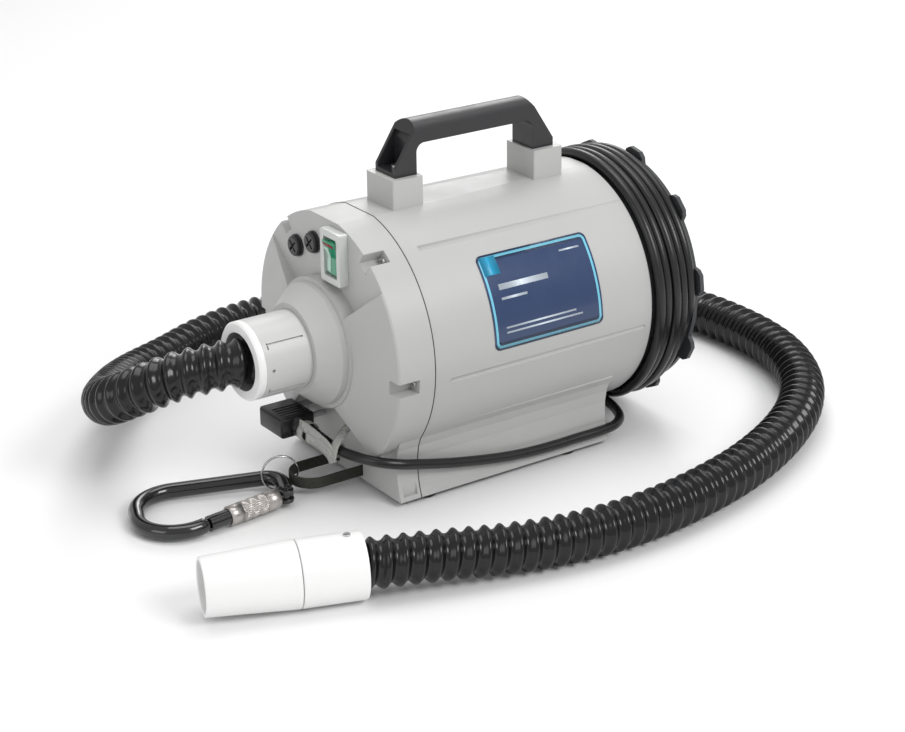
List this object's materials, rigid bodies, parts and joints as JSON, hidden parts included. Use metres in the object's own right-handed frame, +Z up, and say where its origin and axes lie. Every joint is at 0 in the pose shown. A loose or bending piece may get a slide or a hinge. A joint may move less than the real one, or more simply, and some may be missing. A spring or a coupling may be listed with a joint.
{
  "type": "portable canister air dryer",
  "caption": "Portable canister air dryer with a carrying handle, a corrugated hose and nozzle on its front port, and a mains lead wound round its rear.",
  "frame": {"origin": "centre of the bounding box on the floor, measured without the hose, the nozzle, the mains lead and its plug", "axes": "+Z up, -Y towards the air port on the front, +X towards the side with the label"},
  "size_m": [0.5545, 0.6526, 0.2771],
  "materials": {
    "housing": "fine moulded texture",
    "dark_plastic": "matt",
    "black_plastic": "satin",
    "steel": "bright",
    "rubber": "matt",
    "label": "printed film",
    "clear_white": "gloss",
    "green_plastic": "translucent gloss",
    "port_grey": "satin",
    "white_plastic": "satin",
    "hose_black": "gloss",
    "foam": "open cell",
    "cast_aluminium": "as cast",
    "aluminium": "spun",
    "lamination": "stacked sheet",
    "copper": "varnished winding",
    "brass": "drawn",
    "carbon": "pressed graphite",
    "cord_black": "satin jacket",
    "webbing": "woven",
    "anodised_black": "gloss black anodised",
    "knurled_metal": "knurled"
  },
  "bodies": {
    "housing": {"barrel_shell": "housing", "front_cap": "housing", "base_plate": "dark_plastic", "base_screws": "steel", "feet": "rubber", "foot_screws": "steel", "housing_screws": "steel", "handle": "black_plastic", "handle_screws": "steel", "label": "label", "switch_bezel": "clear_white", "switch_body": "black_plastic", "fuse_holders": "black_plastic", "port_tube": "port_grey", "hose_cuff": "white_plastic", "hose": "hose_black", "nozzle_cuff": "white_plastic", "nozzle_screw": "steel", "rear_cover": "dark_plastic", "rear_screws": "steel", "filter_foam": "foam", "filter_grid": "dark_plastic", "rear_bulkhead": "dark_plastic", "front_bulkhead": "dark_plastic", "motor_mounts": "rubber", "foam_liner": "foam", "motor_frame": "cast_aluminium", "stator_core": "lamination", "field_coils": "copper", "bearings": "steel", "brush_holders": "brass", "carbon_brushes": "carbon", "fan_case": "aluminium", "fan_base": "cast_aluminium", "stage_plate": "aluminium", "terminal_block": "clear_white", "inner_leads": "cord_black", "cord_grommet": "rubber", "cord_winding": "cord_black", "cord_run": "cord_black", "mains_plug": "cord_black", "plug_pins": "brass", "cord_tie": "white_plastic", "strap_loop": "webbing", "strap_clamp": "steel"},
    "rotor": {"armature": "copper", "motor_shaft": "steel", "impellers": "aluminium"},
    "switch_rocker": {"rocker": "green_plastic"},
    "left_fuse": {"fuse_cap_left": "black_plastic", "fuse_left": "steel"},
    "right_fuse": {"fuse_cap_right": "black_plastic", "fuse_right": "steel"},
    "key_ring": {"split_ring": "steel"},
    "hook": {"carabiner": "anodised_black"},
    "hook_gate": {"carabiner_gate": "anodised_black"},
    "hook_sleeve": {"gate_sleeve": "knurled_metal"},
    "nozzle_end": {"nozzle_tip": "white_plastic"}
  },
  "joints": [
    {"name": "rotor_spin", "type": "hinge", "parent": "housing", "child": "rotor", "pos_m": [0, 0.07333, 0.116], "axis": [0, 1, 0], "continuous": true},
    {"name": "rocker_rock", "type": "hinge", "parent": "housing", "child": "switch_rocker", "pos_m": [0.01967, -0.06127, 0.18941], "axis": [1, 0, 0], "range_deg": [0, 16]},
    {"name": "left_fuse_turn", "type": "hinge", "parent": "housing", "child": "left_fuse", "pos_m": [-0.0396, -0.05807, 0.18087], "axis": [0, 1, 0], "range_deg": [0, 60]},
    {"name": "right_fuse_turn", "type": "hinge", "parent": "housing", "child": "right_fuse", "pos_m": [-0.01476, -0.05807, 0.19055], "axis": [0, 1, 0], "range_deg": [0, 60]},
    {"name": "ring_swing", "type": "hinge", "parent": "housing", "child": "key_ring", "pos_m": [0.00155, -0.09684, 0.01], "axis": [0, 0, 1], "range_deg": [-15, 5]},
    {"name": "hook_lift", "type": "hinge", "parent": "key_ring", "child": "hook", "pos_m": [-0.00093, -0.10445, 0.0098], "axis": [-0.309, -0.9511, 0], "range_deg": [0, 12]},
    {"name": "gate_open", "type": "hinge", "parent": "hook", "child": "hook_gate", "pos_m": [0.02372, -0.11433, 0.00977], "axis": [0.0125, 0.0307, -0.9995], "range_deg": [0, 25], "stiffness_Nm_per_rad": 0.06, "springref_deg": -17.19},
    {"name": "sleeve_slide", "type": "slide", "parent": "hook_gate", "child": "hook_sleeve", "axis": [0.0802, -0.9963, -0.0296], "range_m": [0, 0.008]},
    {"name": "nozzle_pull", "type": "slide", "parent": "housing", "child": "nozzle_end", "axis": [-0.3272, -0.9449, 0], "range_m": [0, 0.03]}
  ]
}
